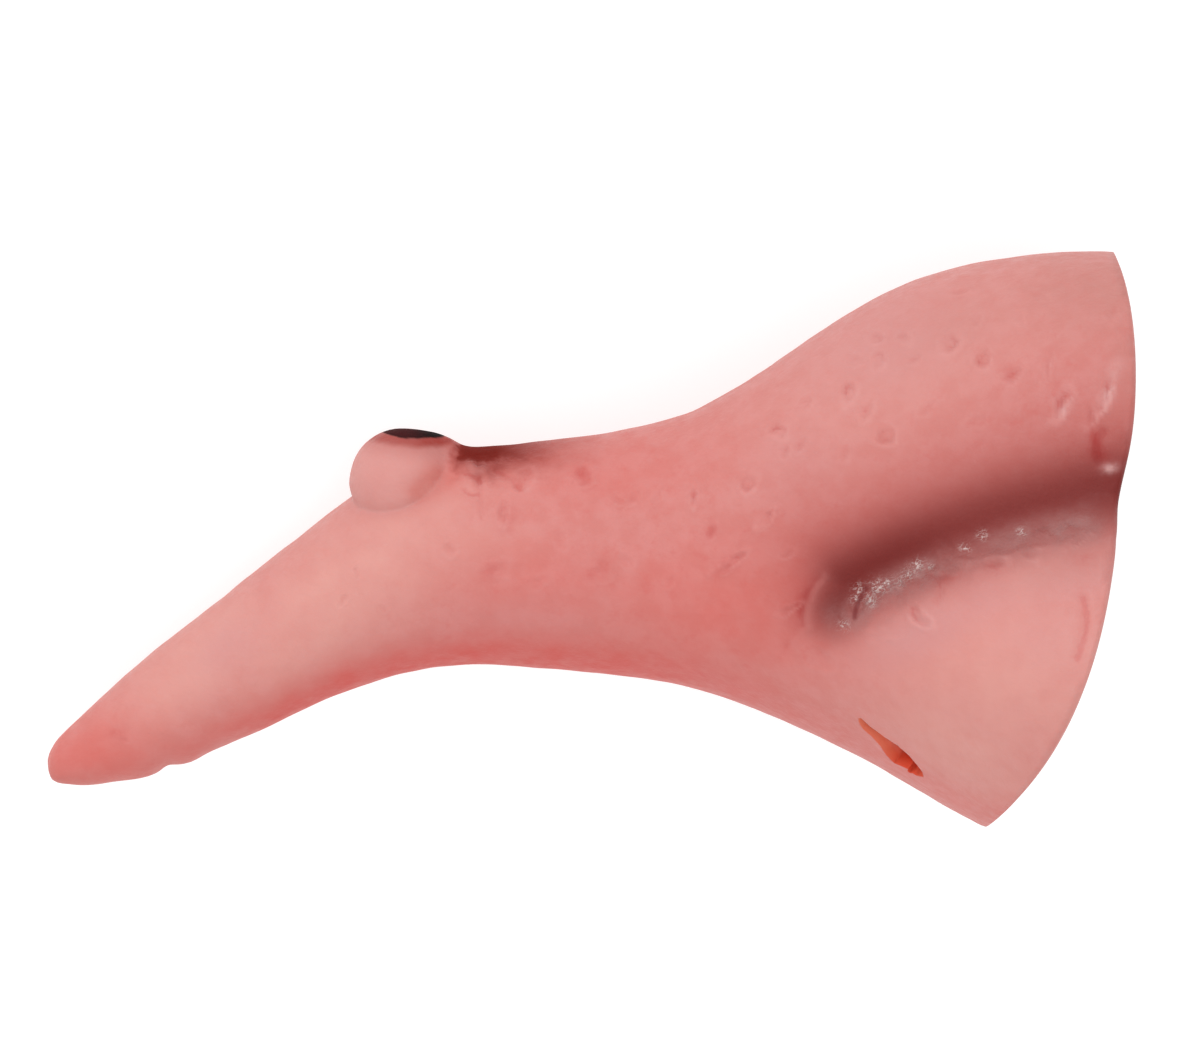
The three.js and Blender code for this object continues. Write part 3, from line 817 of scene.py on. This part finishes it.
softSprays = {  # x, y, reachX, reachY, turnDeg, amount
    "paleSpray": [
        # pale paint, and in part painted sheen and fill light on the tip, the tube and the wing underneath
        (30.0, 20.0, 17.0, 6.5, 40.0, 0.95),
        (15.5, 12.6, 11.0, 4.5, 40.0, 1.0),
        (40.0, 24.0, 9.0, 5.0, 20.0, 0.5),
        (95.0, 11.0, 15.0, 10.0, 0.0, 0.85),
        (91.0, 4.0, 11.0, 6.0, -30.0, 0.8),
        (84.0, 40.0, 16.0, 7.0, 30.0, 0.45),
        (86.5, 16.0, 7.0, 3.0, 25.0, 0.9),
        (98.5, 21.0, 8.0, 3.0, 15.0, 0.75),
    ],
    "coolSpray": [
        (84.5, 44.0, 9.0, 5.0, 25.0, 0.6),
        (17.7, 13.7, 4.0, 2.2, 40.0, 0.6),
        (75.0, 33.0, 5.0, 4.0, 0.0, 0.35),
        (99.0, 15.0, 5.0, 4.0, 0.0, 0.35),
        (87.0, 15.4, 6.5, 2.6, 25.0, 0.85),
        (93.5, 18.5, 5.0, 2.6, 20.0, 0.55),
        (101.0, 20.5, 6.0, 2.5, 12.0, 0.6),
        (48.5, 16.5, 7.0, 2.5, 0.0, 0.3),
    ],
    "redSpray": [
        (68.0, 17.0, 17.0, 8.0, 0.0, 0.5),
        (50.0, 19.0, 10.0, 6.0, 0.0, 0.4),
        (57.0, 31.0, 14.0, 5.0, 12.0, 0.3),
        (5.0, 2.6, 8.0, 4.5, 0.0, 0.6),
        # painted shade on the slope between the wart and the bridge
        (40.2, 31.2, 1.8, 1.9, 0.0, 0.45),
    ],
    "dullSpray": [
        # greyer, darker tone, in part painted shade along the top edge where it turns from the light
        (105.0, 49.5, 9.0, 5.0, 0.0, 0.7),
        (108.0, 42.0, 3.0, 8.0, 0.0, 0.5),
        (97.0, 30.5, 8.0, 2.5, 12.0, 0.3),
        (92.0, 46.5, 10.0, 4.0, 15.0, 0.3),
        (102.0, 21.5, 6.0, 2.0, 12.0, 0.35),
    ],
    "dentHighlightSpray": [  # painted highlights beside the dents
        (105.65, 38.9, 1.5, 0.45, 67.0, 0.8),
        (106.3, 41.2, 1.2, 0.7, 70.0, 0.35),
        (101.3, 37.3, 1.0, 0.42, 50.0, 0.6),
        (105.7, 31.5, 0.8, 0.42, 15.0, 0.75),
    ],
    "brightSpray": [  # small touches of bright red in the dents
        (104.3, 34.2, 1.7, 0.55, -75.0, 0.9),
        (94.5, 21.8, 1.1, 0.5, 10.0, 0.45),
        (103.0, 22.5, 1.2, 0.6, 10.0, 0.4),
        (104.8, 32.8, 1.3, 0.9, -40.0, 1.0),
        (66.2, 25.2, 1.0, 0.7, 60.0, 0.5),
        (46.0, 26.6, 1.3, 1.0, 70.0, 0.5),
        (55.0, 21.4, 1.4, 0.9, 30.0, 0.4),
        (53.6, 30.9, 1.4, 1.1, 50.0, 0.5),
        (67.8, 21.8, 1.2, 0.8, 30.0, 0.5),
        (44.4, 21.4, 1.4, 1.0, 20.0, 0.35),
        (75.3, 18.4, 2.2, 0.6, 70.0, 0.9),
        (88.7, 20.5, 1.8, 0.4, 8.0, 0.8),
        (7.0, 5.0, 1.0, 0.8, 0.0, 0.4),
        (93.2, 42.4, 0.9, 0.8, 0.0, 0.2),
        (96.0, 41.0, 1.2, 0.8, 30.0, 0.3),
    ],
}
wartPaint = {
    "edge": (5.2, 6.2),  # from the middle of the ball
    # pale over the whole wart, partly painted light against the shade at its foot
    "pale": 0.85,
    "cool": 0.4,
    "blush": (1.7, 1.1, 1.1),  # painted shade along the groove, red
    "capX": 36.8,
    "capY": 34.55,
    "capSag": 0.02,
    "capReach": 6.4,
    "capSteep": 1.5,
    "capMiddle": (36.8, 3.2),  # x, z
    "capRound": (2.75, 3.8),
    "capPast": 1.7,  # how fast the cap ends past its round edge
    "fringePast": 0.4,
    "nearZ": (0.0, 2.5),  # its far edge is lighter
    "darkX": (35.7, 38.9),
}
crestStain = {
    "from": 41.7,
    "lean": 0.5,  # how far the front edge runs forward for each millimetre down
    "startSteep": 2.6,
    "ragged": 1.3,
    "shallow": 0.5,  # how much faster it fades downwards at its front edge
    "shallowX": (41.3, 43.3),
    "narrowing": 0.1,  # how much faster it fades downwards behind its dark start
    "narrowingX": (44.0, 47.0),
    "behindWart": (38.0, 39.5),
    "along": (41.0, 43.0, 44.8, 46.0, 47.2, 48.4, 49.6, 50.8, 52.5, 56.0),
    "strength": (0.95, 1.0, 1.0, 0.86, 0.68, 0.5, 0.34, 0.22, 0.11, 0.0),
    "farSide": (-7.0, -1.0),  # z where it has gone and where it is whole
    "farLeft": 0.1,  # what is left of it there
}
# red under the tube, partly painted shade of the underside and its lower edge
underBlushAndShade = {
    "above": 0.4,  # over the keel
    "reach": 2.5,
    "fromX": (5.0, 29.0),
    "thinX": (50.0, 78.0),
    "thinner": 0.55,
    "middleZ": 6.0,
    "middlePale": 0.14,
}
flankZ = {"left": (-1.0, 1.0), "flank": (7.0, 11.0)}  # where the left side and the flanks begin


def foldAmounts(x, y, left, flank):
    creaseLine = arcPoints(*creaseSpray["line"], "paint")
    share, ahead, above = alongArc(x, y, creaseLine)
    reach = np.where(above > 0, creaseSpray["shadeAbove"], np.interp(share, *creaseSpray["shadeBelow"]))
    shade = bell(np.hypot(above / reach, ahead / creaseSpray["shadeAhead"]))
    shade *= np.interp(share, *creaseSpray["shadeRun"])
    hook = arcBand(x, y, arcPoints(*creaseSpray["hook"]), creaseSpray["hookReach"])
    _, slotAhead, slotAbove = alongArc(x, y, arcPoints(*creaseSpray["slot"]))
    share, ahead, above = alongArc(x, y, filmLine)
    filmLength = np.linalg.norm(np.diff(filmLine, axis=0), axis=1).sum()
    film = softBand(ahead, above, *creaseSpray["film"]) * np.interp(share, *creaseSpray["filmRun"])
    for placeX, placeY, reach, amount in creaseSpray["haze"]:
        film = np.maximum(film, amount * spot(x, y, placeX, placeY, reach))
    glint = np.zeros(len(x))
    for row in creaseSpray["glints"]:
        glint = np.maximum(glint, spot(x, y, *row))
    return {
        "creaseShade": np.maximum(shade, creaseSpray["hookAmount"] * hook) * flank,
        "creaseHalo": arcBand(x, y, creaseLine, *creaseSpray["halo"]) * flank,
        "slotAhead": slotAhead + creaseSpray["slotFar"] * (1 - left),
        "slotAbove": slotAbove,
        "filmAlong": share * filmLength + ahead,
        "filmAcross": above,
        "creaseFilm": film * flank,
        "filmGlint": glint * flank,
    }


def sprayAmounts(x, y, z):
    amounts = {}
    for name, rows in softSprays.items():
        field = np.zeros(len(x))
        for placeX, placeY, reachX, reachY, turnDeg, amount in rows:
            along, across = turnedTo(x, y, placeX, placeY, turnDeg)
            field = np.maximum(field, amount * bell(np.hypot(along / reachX, across / reachY)))
        amounts[name] = field
    keelY = np.interp(x, ribColumn["keelX"], ribColumn["keelY"])
    blush = bell((y - keelY - underBlushAndShade["above"]) / underBlushAndShade["reach"])
    blush *= smoothStep(x, *underBlushAndShade["fromX"])
    blush *= 1 - underBlushAndShade["thinner"] * smoothStep(x, *underBlushAndShade["thinX"])
    amounts["underBlushAndShade"] = blush * (1 - underBlushAndShade["middlePale"] * bell(z / underBlushAndShade["middleZ"]))
    amounts["bareBlush"] = spot(x, y, *slitForm["blush"]) * smoothStep(np.abs(z), *slitForm["blushZ"])
    return amounts


def wartAmounts(points, left):
    x, y, z = points.T
    fromBall = farFrom(points, wartForm["ball"])
    cap = y - wartPaint["capY"] - wartPaint["capSag"] * (x - wartPaint["capX"]) ** 2
    cap -= wartPaint["capSteep"] * np.maximum(fromBall - wartPaint["capReach"], 0)
    (capX, capZ), (roundX, roundZ) = wartPaint["capMiddle"], wartPaint["capRound"]
    past = np.maximum(np.hypot((x - capX) / roundX, (z - capZ) / roundZ) - 1, 0)
    near = smoothStep(z, *wartPaint["nearZ"])
    grooveLine = arcPoints(*wartForm["groove"])
    return 1 - smoothStep(fromBall, *wartPaint["edge"]), {
        "wartCap": cap - wartPaint["capPast"] * past,
        "wartFringe": cap - wartPaint["fringePast"] * past,
        "capNear": near,
        "capEnd": smoothStep(x, *wartPaint["darkX"]) * near,
        "wartGrooveShade": arcBand(x, y, grooveLine, *wartPaint["blush"]) * left,
    }


def stainAmounts(x, y, z, markX, creaseY):
    crestY = np.interp(x, ribColumn["crestX"], ribColumn["crestY"])
    ragged = x + crestStain["ragged"] * (markX - x)
    begin = crestStain["from"] - crestStain["lean"] * (crestY - y)
    steeper = crestStain["shallow"] * (1 - smoothStep(x, *crestStain["shallowX"]))
    steeper += crestStain["narrowing"] * smoothStep(x, *crestStain["narrowingX"])
    depth = np.minimum(creaseY - crestY, 0) * (1 + steeper)
    strength = np.interp(x, crestStain["along"], crestStain["strength"])
    strength *= smoothStep(x, *crestStain["behindWart"])
    whole = smoothStep(z, *crestStain["farSide"])
    return {
        "crestStain": depth - crestStain["startSteep"] * np.maximum(0, begin - ragged),
        "stainStrength": strength * (crestStain["farLeft"] + (1 - crestStain["farLeft"]) * whole),
    }


def markAmounts(points, markPlace, creasePlace):
    # painted shade in the bottoms of the pits and grooves, turned with the light, and painted highlights on
    # the edges that face the light and along raised creases
    x, y, z = points.T
    dark, light = np.zeros(len(points)), np.zeros(len(points))
    lengths, margin = markForm["paintReach"]
    mean, swing = markForm["darkLit"]
    for sign, table in pitTables.items():
        for pit in table:
            placeX, placeY, long = pit[:3]
            near = (z * sign > 0) & (np.hypot(x - placeX, y - placeY) < lengths * long + margin)
            markX, markY = (place[near] for place in markPlace)
            height = pitHeight(markX, markY, pit) / markForm["pitScale"] / markForm["paintDepth"]
            toLight = np.arctan2(markY - placeY, markX - placeX) - math.radians(markForm["litDeg"])
            dark[near] += np.maximum(0, -height) * (mean - swing * np.cos(toLight))
            light[near] += np.maximum(0, height) * markForm["lightLit"] * (1 + np.cos(toLight))
    for front, bend, back, rise, width in skinCreases:
        line = arcPoints(front, bend, back)
        band = arcBand(*creasePlace, line, width) * (z > 0)
        dark += band * max(0, -rise) / markForm["creaseDark"]
        light += band * max(0, rise) / markForm["creaseLight"]
    return {"markShade": np.minimum(dark, 1), "markHighlight": np.minimum(light, 1)}


def paintAmounts(points):
    x, y, z = points.T
    markPlace, creasePlace = warped(points)
    left = smoothStep(z, *flankZ["left"])
    flank = smoothStep(np.abs(z), *flankZ["flank"])
    amounts = foldAmounts(x, y, left, flank)
    amounts.update(sprayAmounts(x, y, z))
    onWart, wart = wartAmounts(points, left)
    amounts.update(wart)
    for name in ("pale", "cool"):
        amounts[name + "Spray"] = np.maximum(amounts[name + "Spray"], wartPaint[name] * onWart)
    amounts.update(stainAmounts(x, y, z, markPlace[0], creasePlace[1]))
    amounts.update(markAmounts(points, markPlace, creasePlace))
    return amounts


class PaintNodes:
    # a material's nodes, with the paint laid on so far as its colour
    def __init__(self, name, colour):
        self.material = bpy.data.materials.new(name)
        self.material.use_nodes = True
        self.tree = self.material.node_tree
        self.shader = self.tree.nodes["Principled BSDF"]
        self.place = self.add("TexCoord", {}).outputs["Object"]
        self.colour = colour

    def fill(self, node, inputs):
        for socket, value in inputs.items():
            if isinstance(value, bpy.types.NodeSocket):
                self.tree.links.new(value, node.inputs[socket])
            else:
                node.inputs[socket].default_value = value

    def add(self, kind, inputs, **settings):
        node = self.tree.nodes.new("ShaderNode" + kind)
        for name, value in settings.items():
            setattr(node, name, value)
        self.fill(node, inputs)
        return node

    def amount(self, name):
        return self.add("Attribute", {}, attribute_name=name).outputs["Fac"]

    def pair(self, first, second):
        return self.add("CombineXYZ", {0: self.amount(first), 1: self.amount(second)}).outputs[0]

    def grain(self, name, place=None):
        scale, detail, rough = (*latexGrains[name], 0.55)[:3]
        inputs = {"Vector": place or self.place, "Scale": scale, "Detail": detail, "Roughness": rough}
        return self.add("TexNoise", inputs).outputs["Fac"]

    def math(self, kind, first, second=0.0):
        return self.add("Math", {0: first, 1: second}, operation=kind).outputs[0]

    def times(self, first, second):
        return self.math("MULTIPLY", first, second)

    def plus(self, first, second):
        return self.math("ADD", first, second)

    def ramp(self, value, name):
        inputs = dict(zip(("From Min", "From Max", "To Min", "To Max"), latexRamps[name]))
        inputs["Value"] = value
        return self.add("MapRange", inputs, interpolation_type="SMOOTHSTEP").outputs["Result"]

    def grained(self, name):
        return self.ramp(self.grain(name), name)

    def ragged(self, name):
        # grain that goes both ways from nothing
        return self.times(self.math("SUBTRACT", self.grain(name), 0.5), latexShares[name])

    def mix(self, under, over, factor, blend="MIX"):
        inputs = {0: factor, 6: under, 7: over}
        return self.add("Mix", inputs, data_type="RGBA", blend_type=blend).outputs[2]

    def coat(self, name, factor):
        self.colour = self.mix(self.colour, latexColours[name], factor)

    def bump(self, name, height, under=None, amount=None):
        strength, distance = latexBumps[name]
        inputs = {"Height": height, "Strength": strength, "Distance": distance}
        if amount:
            inputs["Strength"] = self.times(amount, strength)
        if under:
            inputs["Normal"] = under
        return self.add("Bump", inputs).outputs["Normal"]


studioLight = {"level": 1.34, "sheen": 0.02}  # light that the nose's left side gets, and its sheen


def seen(red, green, blue):
    # paint that looks like this screen colour in the studio's light
    screen = [channel / 255 for channel in (red, green, blue)]
    linear = [c / 12.92 if c <= 0.04045 else ((c + 0.055) / 1.055) ** 2.4 for c in screen]
    return (*[max(0.002, c - studioLight["sheen"]) / studioLight["level"] for c in linear], 1.0)


latexColours = {
    "base": seen(218, 138, 132),
    "mottle": seen(222, 147, 142),
    "flush": seen(216, 122, 116),
    # pale paint, in part painted sheen and fill light
    "pale": seen(231, 164, 155),
    "red": seen(226, 112, 104),
    # red under the tube, partly painted shade of the underside
    "blush": seen(224, 99, 92),
    "halo": seen(182, 86, 82),
    "shade": seen(126, 52, 50),
    "film": seen(172, 118, 115),
    # painted highlights along the film's wrinkles, and painted glints on it
    "filmWrinkleHighlight": seen(200, 165, 160),
    "glint": seen(240, 222, 218),
    "slot": seen(134, 60, 60),
    # lighter tone of the wart's cap, partly painted sheen from the top light
    "cap": seen(76, 43, 44),
    "capDark": seen(44, 8, 8),
    "stain": seen(124, 46, 39),
    "stainHalo": seen(190, 84, 76),
    # painted shade along the wart's groove, red
    "wartRed": seen(210, 112, 101),
    "fringe": seen(170, 70, 63),
    "bright": seen(202, 82, 78),
    "cool": seen(219, 154, 151),
    # painted highlight beside the dents
    "dentHighlight": seen(228, 180, 177),
    # greyer, darker tone, in part painted shade on the top edge
    "dull": seen(205, 136, 128),
    "dark": (0.93, 0.7, 0.7, 1.0),  # painted shade, reddish, multiplied into the bottom of a mark
    # painted highlight on the edges of marks that face the light and along raised creases
    "light": seen(232, 170, 165),
    # bare latex, made brighter as painted light for the glow through the thin wall
    "bare": seen(241, 140, 112),
    "bareDeep": seen(236, 112, 86),
    "bareRed": seen(240, 92, 66),
}


latexGrains = {  # scale, detail, and the roughness if not 0.55
    "fine": (900, 3.0),
    "uneven": (300, 2.0),
    "mottle": (420, 4.0),
    "flush": (560, 5.0, 0.65),
    "bright": (700, 3.0),
    "film": (380, 2.5),
    "streak": (1.8, 3.0, 0.6),  # on the film's own places
    "glintPatches": (1300, 2.0),
    "glintSpecks": (2600, 2.0),
    "stain": (620, 4.0, 0.6),
    "dentHighlight": (800, 3.0),
    "markGrain": (1500, 3.0),
    "dimple": (650, 5.0, 0.6),
    "pore": (2600, 3.0),
    "bare": (220, 4.0, 0.5),
}
latexRamps = {  # from, to, and the amounts there if not 0 and 1
    "uneven": (0.25, 0.75, 0.8, 1.15),
    "mottle": (0.35, 0.65),
    "flush": (0.52, 0.72, 0.0, 0.45),
    "bright": (0.3, 0.6, 0.3, 0.9),
    "film": (0.38, 0.58, 0.5, 0.95),
    "thin": (0.0, 0.06, 1.0, 0.0),
    "faint": (0.0, 1.0, 0.12, 0.8),
    "glintPatches": (0.36, 0.6),
    "speckled": (0.6, 0.98),
    "glintSpecks": (0.46, 0.64),
    "slot": (0.24, 0.62, 0.72, 0.0),
    "stainHalo": (-5.2, -0.9),
    "stainSoft": (-4.2, -0.4, 0.0, 0.75),
    "stainEdge": (-1.9, -1.2, 0.0, 0.25),
    "dentHighlight": (0.3, 0.6, 0.3, 1.0),
    "dark": (0.28, 0.52, 0.0, 0.4),
    "fringeSoft": (-3.1, 0.1, 0.0, 0.5),
    "fringeEdge": (-1.2, -0.3, 0.0, 0.5),
    "fringeEnd": (0.0, 1.0, 0.85, 1.05),
    "capRing": (0.1, 0.42, 0.8, 0.0),
    "capCrisp": (-0.05, 0.3),
    "capSoft": (-0.1, 0.8),
    "capMatt": (0.0, 0.25),
    "rough": (0.3, 0.7, 0.46, 0.6),
    "wrinkle": (0.0, 0.6, 0.35, 1.0),
}
latexShares = {  # how much of a coat or a grain counts
    "wartRed": 0.5,
    "halo": 0.75,
    "shade": 0.95,
    "glint": 0.95,
    "glintSpecks": 0.75,
    "slot": 0.4,
    "stain": 2.2,
    "stainHalo": 1.3,
    "stainHaloPower": 0.6,
    "stainHaloMost": 0.85,
    "markGrain": 0.5,
    "dark": 0.65,
    "light": 0.5,
    "cap": 0.3,
    "wet": 0.22,
}
latexBumps = {"dimple": (0.22, 0.0006), "pore": (0.1, 0.0002), "wrinkle": (0.6, 0.0002)}  # strength, distance
filmStretch = (0.8, 1.7, 1.0)
latexFinish = {
    "Specular IOR Level": 0.18,
    "Subsurface Weight": 0.15,
    "Subsurface Radius": (1.0, 0.4, 0.3),
    "Subsurface Scale": 0.0008,
}
bareFinish = {
    "Roughness": 0.6,
    "Specular IOR Level": 0.15,
    "Subsurface Weight": 0.2,
    "Subsurface Radius": (1.0, 0.35, 0.25),
    "Subsurface Scale": 0.001,
}


def sprayCoats(paint):
    uneven = paint.grained("uneven")
    for name in ("mottle", "flush"):
        paint.coat(name, paint.grained(name))
    # pale holds painted sheen and fill light in places, red and dull hold painted shade in places
    for name in ("pale", "red", "cool", "dull"):
        paint.coat(name, paint.times(paint.amount(name + "Spray"), uneven))
    paint.coat("bright", paint.times(paint.amount("brightSpray"), paint.grained("bright")))
    # red under the tube, partly painted shade
    paint.coat("blush", paint.times(paint.amount("underBlushAndShade"), uneven))
    # painted shade along the wart's groove, then the halo and the shade of the fold
    for name, amount in (("wartRed", "wartGrooveShade"), ("halo", "creaseHalo"), ("shade", "creaseShade")):
        paint.coat(name, paint.times(paint.amount(amount), latexShares[name]))


def filmCoats(paint, fine, film, glint):
    # dried paint in the fold: grey patches, painted highlights along its wrinkles, painted glints and a dark
    # slot
    patchy = paint.times(film, paint.grained("film"))
    paint.coat("film", patchy)
    onFilm = {"Vector": paint.pair("filmAlong", "filmAcross"), "Scale": filmStretch}
    streak = paint.grain("streak", paint.add("Mapping", onFilm).outputs[0])
    thin = paint.ramp(paint.math("ABSOLUTE", paint.math("SUBTRACT", streak, 0.5)), "thin")
    paint.coat("filmWrinkleHighlight", paint.times(thin, paint.times(patchy, paint.ramp(glint, "faint"))))
    catch = paint.times(paint.times(glint, paint.grained("glintPatches")), latexShares["glint"])
    paint.coat("glint", paint.times(thin, catch))
    glintSpecks = paint.times(paint.ramp(glint, "speckled"), paint.grained("glintSpecks"))
    paint.coat("glint", paint.times(glintSpecks, latexShares["glintSpecks"]))
    toSlot = paint.add("VectorMath", {0: paint.pair("slotAhead", "slotAbove")}, operation="LENGTH")
    slotEdge = paint.plus(toSlot.outputs["Value"], paint.times(fine, latexShares["slot"]))
    paint.coat("slot", paint.ramp(slotEdge, "slot"))
    return thin


def stainCoats(paint):
    stain = paint.plus(paint.amount("crestStain"), paint.ragged("stain"))
    strength = paint.amount("stainStrength")
    halo = paint.math("POWER", strength, latexShares["stainHaloPower"])
    halo = paint.math("MINIMUM", paint.times(halo, latexShares["stainHalo"]), latexShares["stainHaloMost"])
    paint.coat("stainHalo", paint.times(paint.ramp(stain, "stainHalo"), halo))
    edge = paint.plus(paint.ramp(stain, "stainSoft"), paint.ramp(stain, "stainEdge"))
    stained = paint.times(edge, strength)
    paint.coat("stain", stained)
    return stained


def markCoats(paint):
    # painted highlights beside the dents
    paint.coat("dentHighlight", paint.times(paint.amount("dentHighlightSpray"), paint.grained("dentHighlight")))
    # painted shade in the bottoms of pits and grooves, and painted highlights on their edges that face the
    # light
    markGrain = paint.ragged("markGrain")
    markShade, markHighlight = paint.amount("markShade"), paint.amount("markHighlight")
    crispMarkShade = paint.ramp(paint.plus(markShade, markGrain), "dark")
    dark = paint.plus(paint.times(markShade, latexShares["dark"]), crispMarkShade)
    paint.colour = paint.mix(paint.colour, latexColours["dark"], dark, "MULTIPLY")
    light = paint.plus(markHighlight, paint.times(markGrain, markHighlight))
    paint.coat("light", paint.times(light, latexShares["light"]))


def capCoats(paint, fine):
    # dark cap of the wart, darkest at its edge and its back end, with a red fringe; its lighter grey-maroon
    # is partly painted sheen from the top light
    ragged = paint.times(fine, latexShares["cap"])
    capEdge = paint.plus(paint.amount("wartCap"), ragged)
    fringeEdge = paint.plus(paint.amount("wartFringe"), ragged)
    end, near = paint.amount("capEnd"), paint.amount("capNear")
    fringe = paint.plus(paint.ramp(fringeEdge, "fringeSoft"), paint.ramp(fringeEdge, "fringeEdge"))
    paint.coat("fringe", paint.times(fringe, paint.ramp(end, "fringeEnd")))
    ring = paint.times(paint.ramp(capEdge, "capRing"), near)
    tone = paint.mix(latexColours["cap"], latexColours["capDark"], end)
    tone = paint.mix(tone, latexColours["capDark"], ring)
    crisp, soft = paint.ramp(capEdge, "capCrisp"), paint.ramp(capEdge, "capSoft")
    cover = paint.add("Mix", {0: near, 2: soft, 3: crisp}).outputs[0]
    paint.colour = paint.mix(paint.colour, tone, cover)
    return capEdge


def latexMaterial():
    paint = PaintNodes("paintedLatex", latexColours["base"])
    fine = paint.grain("fine")
    film, glint = paint.amount("creaseFilm"), paint.amount("filmGlint")
    sprayCoats(paint)
    thin = filmCoats(paint, fine, film, glint)
    stained = stainCoats(paint)
    markCoats(paint)
    capEdge = capCoats(paint, fine)
    wet = paint.math("SUBTRACT", paint.ramp(fine, "rough"), paint.times(film, latexShares["wet"]))
    matt = paint.math("MAXIMUM", paint.ramp(capEdge, "capMatt"), stained)
    rough = paint.math("MAXIMUM", wet, matt)
    normal = paint.bump("dimple", paint.grain("dimple"))
    normal = paint.bump("pore", paint.grain("pore"), normal)
    normal = paint.bump("wrinkle", thin, normal, paint.times(film, paint.ramp(glint, "wrinkle")))
    linked = {"Base Color": paint.colour, "Roughness": rough, "Normal": normal}
    paint.fill(paint.shader, {**latexFinish, **linked})
    return paint.material


def bareMaterial():
    # unpainted latex of the hollow and of the slits' edges, made brighter as painted light for the glow
    # through the thin wall
    paint = PaintNodes("bareLatex", latexColours["bare"])
    paint.coat("bareDeep", paint.grain("bare"))
    paint.coat("bareRed", paint.amount("bareBlush"))
    paint.fill(paint.shader, {**bareFinish, "Base Color": paint.colour})
    return paint.material


restAxis = math.radians(restPose["axisDeg"])
restLine = Vector((math.cos(restAxis), math.sin(restAxis), 0))
restTurn = Matrix.Rotation(math.radians(restPose["turnDeg"]), 4, restLine)


def layDown(mesh):
    # turned to its resting side and set down where the solid lies
    mesh.transform(restTurn @ Matrix.Scale(mm, 4))
    places = np.empty(len(mesh.vertices) * 3)
    mesh.vertices.foreach_get("co", places)
    places = places.reshape(-1, 3)
    low, high = [np.array(corner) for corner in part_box("nose_shell")]
    shift = (low + high) / 2 - (places.min(0) + places.max(0)) / 2
    shift[2] = low[2] - places[:, 2].min()
    mesh.transform(Matrix.Translation(Vector(shift)))
    return Vector(shift)


def witchNose():
    piece = meshObject("latexNose", latexSheet(), [latexMaterial(), bareMaterial()])
    print("latex sheet rolled:", len(piece.data.polygons), "faces")
    cutSlits(piece)
    print("slits cut:", len(piece.data.polygons), "faces")
    mesh = piece.data
    points = np.empty(len(mesh.vertices) * 3)
    mesh.vertices.foreach_get("co", points)
    for name, amounts in paintAmounts(points.reshape(-1, 3)).items():
        layer = mesh.attributes.new(name, "FLOAT", "POINT")
        layer.data.foreach_set("value", amounts.astype(np.float32))
    mesh.shade_smooth()
    shift = layDown(mesh)
    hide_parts("nose_shell")
    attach(piece, "root")
    print("paint sprayed and nose laid down")
    return piece, shift


nose, noseShift = witchNose()


# Studio: a pale floor, soft light from the brow side, and a far camera square on to the nose's left side
studio = {
    "middle": (55.2, 25.6, 0.0),  # point of the nose in the middle of the picture
    "pictureWidth": 120.0,
    "distance": 3000.0,
    "sensor": 36.0,
    "floorColour": (0.46, 0.46, 0.46, 1.0),
    "floorGlow": 0.66,  # lit from below, as a photo table is
    "floorSize": 6.0,
    "floorRough": 0.9,
    "floorSheen": 0.1,
    "world": 0.95,
    "clipEnd": 20.0,
}
studioLights = [  # name, then right, up and front in the picture, size and power
    ("softTop", (-0.35, 0.75, 1.0), 0.7, 5.2),
    ("softFront", (0.2, -0.1, 1.4), 1.2, 2.6),
    ("softLow", (0.25, -0.9, 0.9), 1.0, 1.4),
]
white = (1, 1, 1, 1)


def placeInRow(x, y, z):
    return restTurn @ (Vector((x, y, z)) * mm) + noseShift


def addCamera():
    camera = bpy.data.objects.new("camera", bpy.data.cameras.new("camera"))
    camera.data.sensor_width = studio["sensor"]
    camera.data.lens = studio["sensor"] * studio["distance"] / studio["pictureWidth"]
    camera.data.clip_end = studio["clipEnd"]
    x, y, _ = studio["middle"]
    camera.matrix_world = Matrix.Translation(placeInRow(x, y, studio["distance"])) @ restTurn
    bpy.context.scene.collection.objects.link(camera)
    bpy.context.scene.camera = camera


def addFloor():
    bm = bmesh.new()
    bmesh.ops.create_grid(bm, x_segments=1, y_segments=1, size=studio["floorSize"])
    paint = PaintNodes("paleFloor", studio["floorColour"])
    paint.fill(paint.shader, {
        "Base Color": paint.colour,
        "Emission Color": white,
        "Emission Strength": studio["floorGlow"],
        "Roughness": studio["floorRough"],
        "Specular IOR Level": studio["floorSheen"],
    })
    floor = meshObject("floor", bm, [paint.material])


def addLight(name, place, size, power):
    # placed by the picture's own directions, in metres from the nose
    data = bpy.data.lights.new(name, "AREA")
    data.shape = "DISK"
    data.size = size
    data.energy = power
    light = bpy.data.objects.new(name, data)
    aim = placeInRow(*studio["middle"])
    light.location = aim + restTurn.to_3x3() @ Vector(place)
    light.rotation_euler = (light.location - aim).to_track_quat("Z", "Y").to_euler()
    bpy.context.scene.collection.objects.link(light)


def addStudio():
    addCamera()
    addFloor()
    for row in studioLights:
        addLight(*row)
    world = bpy.data.worlds.new("studio")
    world.use_nodes = True
    background = world.node_tree.nodes["Background"]
    background.inputs["Color"].default_value = white
    background.inputs["Strength"].default_value = studio["world"]
    bpy.context.scene.world = world
    bpy.context.scene.view_settings.view_transform = "Standard"
    print("studio set")


addStudio()
